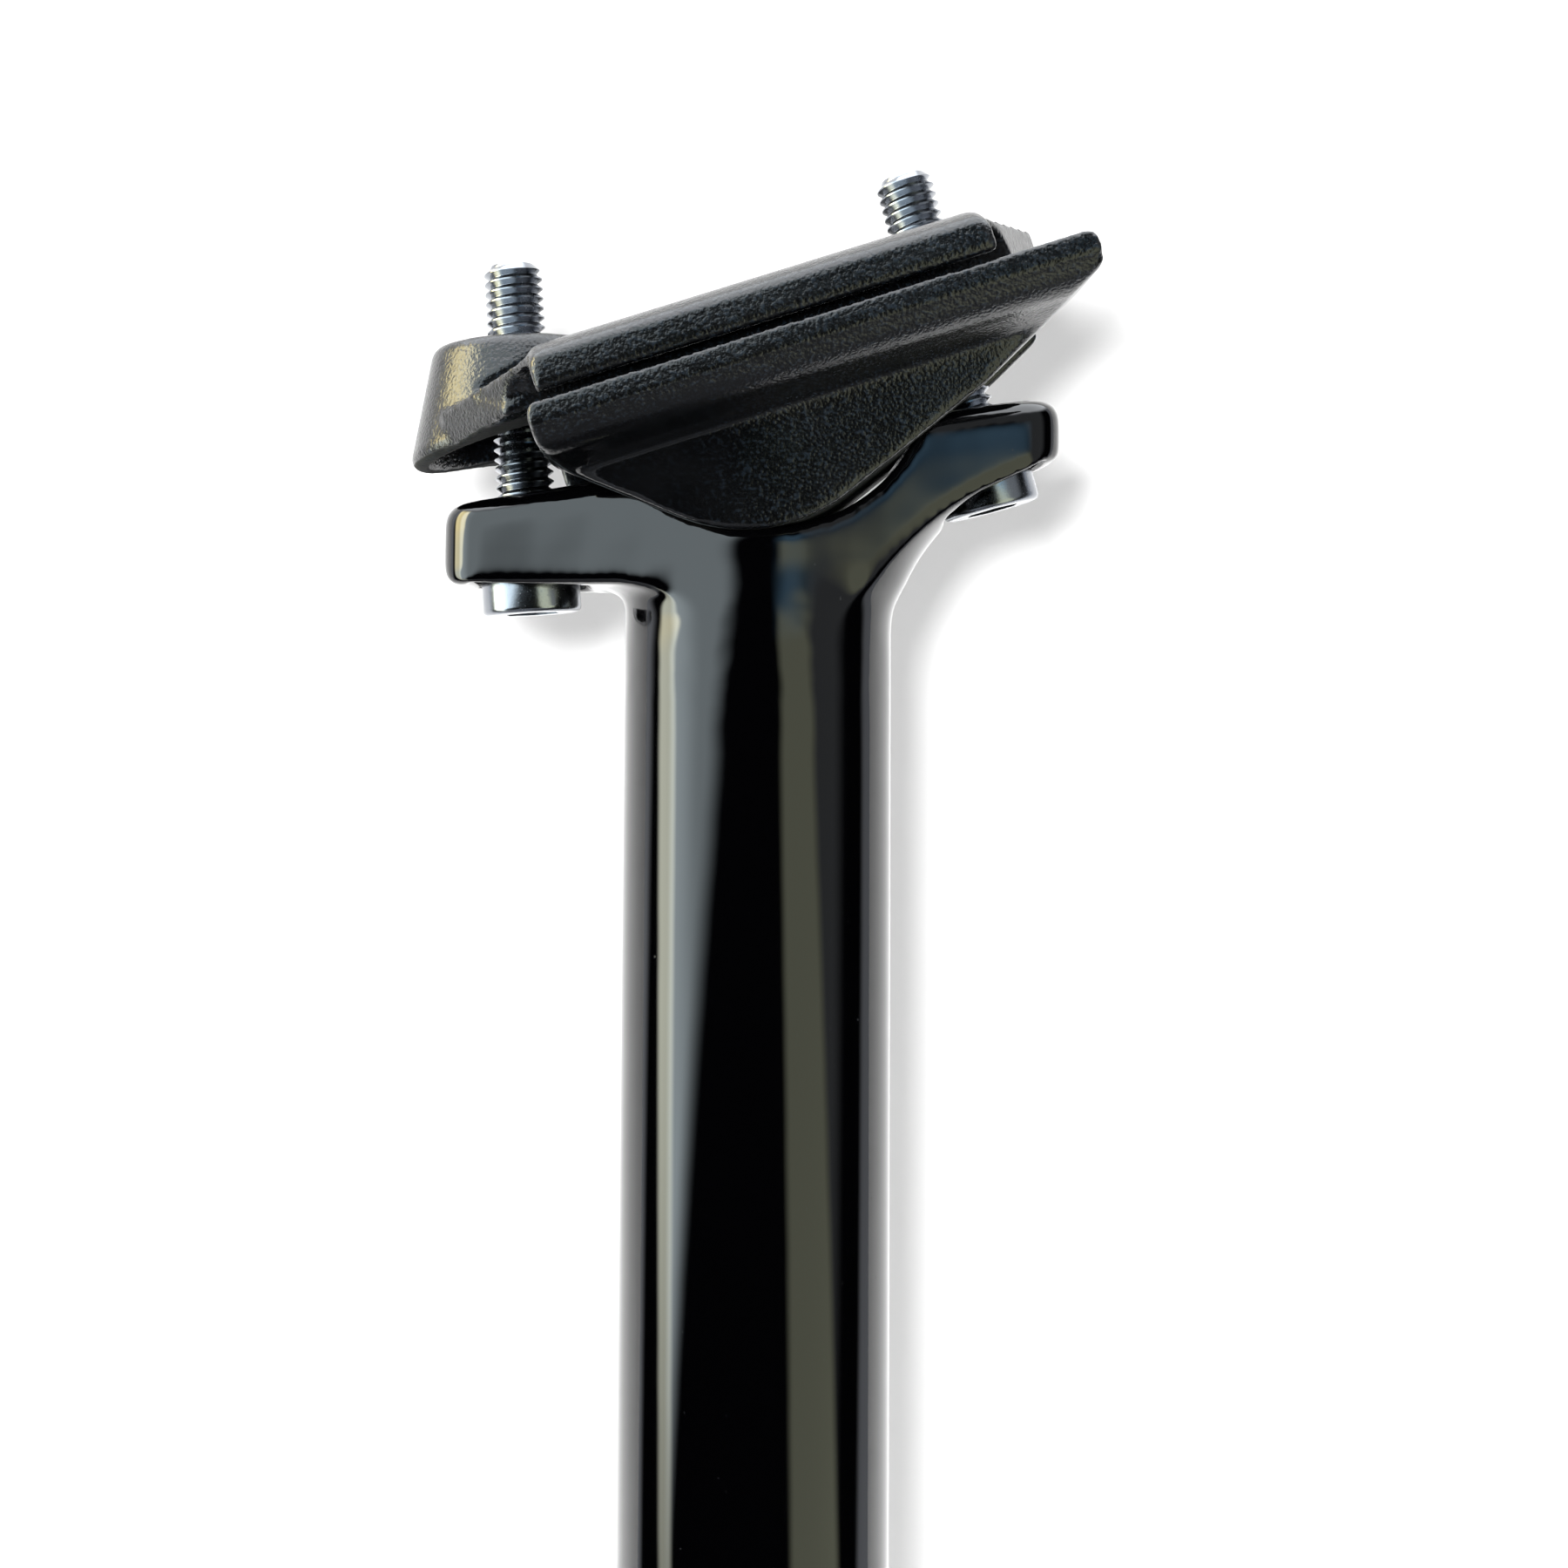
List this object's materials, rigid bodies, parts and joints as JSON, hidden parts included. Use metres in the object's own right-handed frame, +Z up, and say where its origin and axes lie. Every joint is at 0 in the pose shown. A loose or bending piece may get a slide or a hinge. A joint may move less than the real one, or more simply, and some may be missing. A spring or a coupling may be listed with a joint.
{
  "type": "bicycle seatpost",
  "caption": "Straight round seatpost with a two-bolt saddle clamp: a rocking lower cradle and an upper clamp hold the saddle rails.",
  "frame": {"origin": "centre of the tube's bottom end", "axes": "+Z up the tube to the saddle clamp, +X to the rear of the bicycle, +Y to its right-hand side"},
  "size_m": [0.0665, 0.054, 0.3711],
  "materials": {
    "lacquer": "glossy black lacquer over fibre composite",
    "clamp_coat": "fine-textured satin black coating on forged aluminium",
    "bolt_steel": "bright zinc-plated steel",
    "washer_steel": "bright zinc-plated steel",
    "nut_steel": "plain turned steel"
  },
  "bodies": {
    "post": {"post_body": "lacquer"},
    "clamp": {"lower_cradle": "clamp_coat", "upper_clamp": "clamp_coat"},
    "front_bolt_set": {"front_bolt": "bolt_steel", "front_washer": "washer_steel"},
    "rear_bolt_set": {"rear_bolt": "bolt_steel", "rear_washer": "washer_steel"},
    "front_nut": {"front_barrel_nut": "nut_steel"},
    "rear_nut": {"rear_barrel_nut": "nut_steel"}
  },
  "joints": [
    {"name": "saddle_tilt", "type": "hinge", "parent": "post", "child": "clamp", "pos_m": [0, 0, 0.35], "axis": [0, 1, 0], "range_deg": [-5, 5]},
    {"name": "front_bolt_lean", "type": "hinge", "parent": "post", "child": "front_bolt_set", "pos_m": [-0.02298, 0, 0.324], "axis": [0, 1, 0], "range_deg": [-0.73, 0.73]},
    {"name": "rear_bolt_lean", "type": "hinge", "parent": "post", "child": "rear_bolt_set", "pos_m": [0.02434, 0, 0.33503], "axis": [0, 1, 0], "range_deg": [-1.42, 1.42]},
    {"name": "front_nut_turn", "type": "hinge", "parent": "clamp", "child": "front_nut", "pos_m": [-0.02497, 0, 0.3524], "axis": [0, 1, 0], "range_deg": [-4.29, 4.29]},
    {"name": "rear_nut_turn", "type": "hinge", "parent": "clamp", "child": "rear_nut", "pos_m": [0.01679, 0, 0.363], "axis": [0, 1, 0], "range_deg": [-3.6, 3.6]}
  ],
  "couplings": [
    {"joint": "front_bolt_lean", "follows": "saddle_tilt", "ratio": 0.14312},
    {"joint": "rear_bolt_lean", "follows": "saddle_tilt", "ratio": 0.28134},
    {"joint": "front_nut_turn", "follows": "saddle_tilt", "ratio": -0.85688},
    {"joint": "rear_nut_turn", "follows": "saddle_tilt", "ratio": -0.71866}
  ]
}
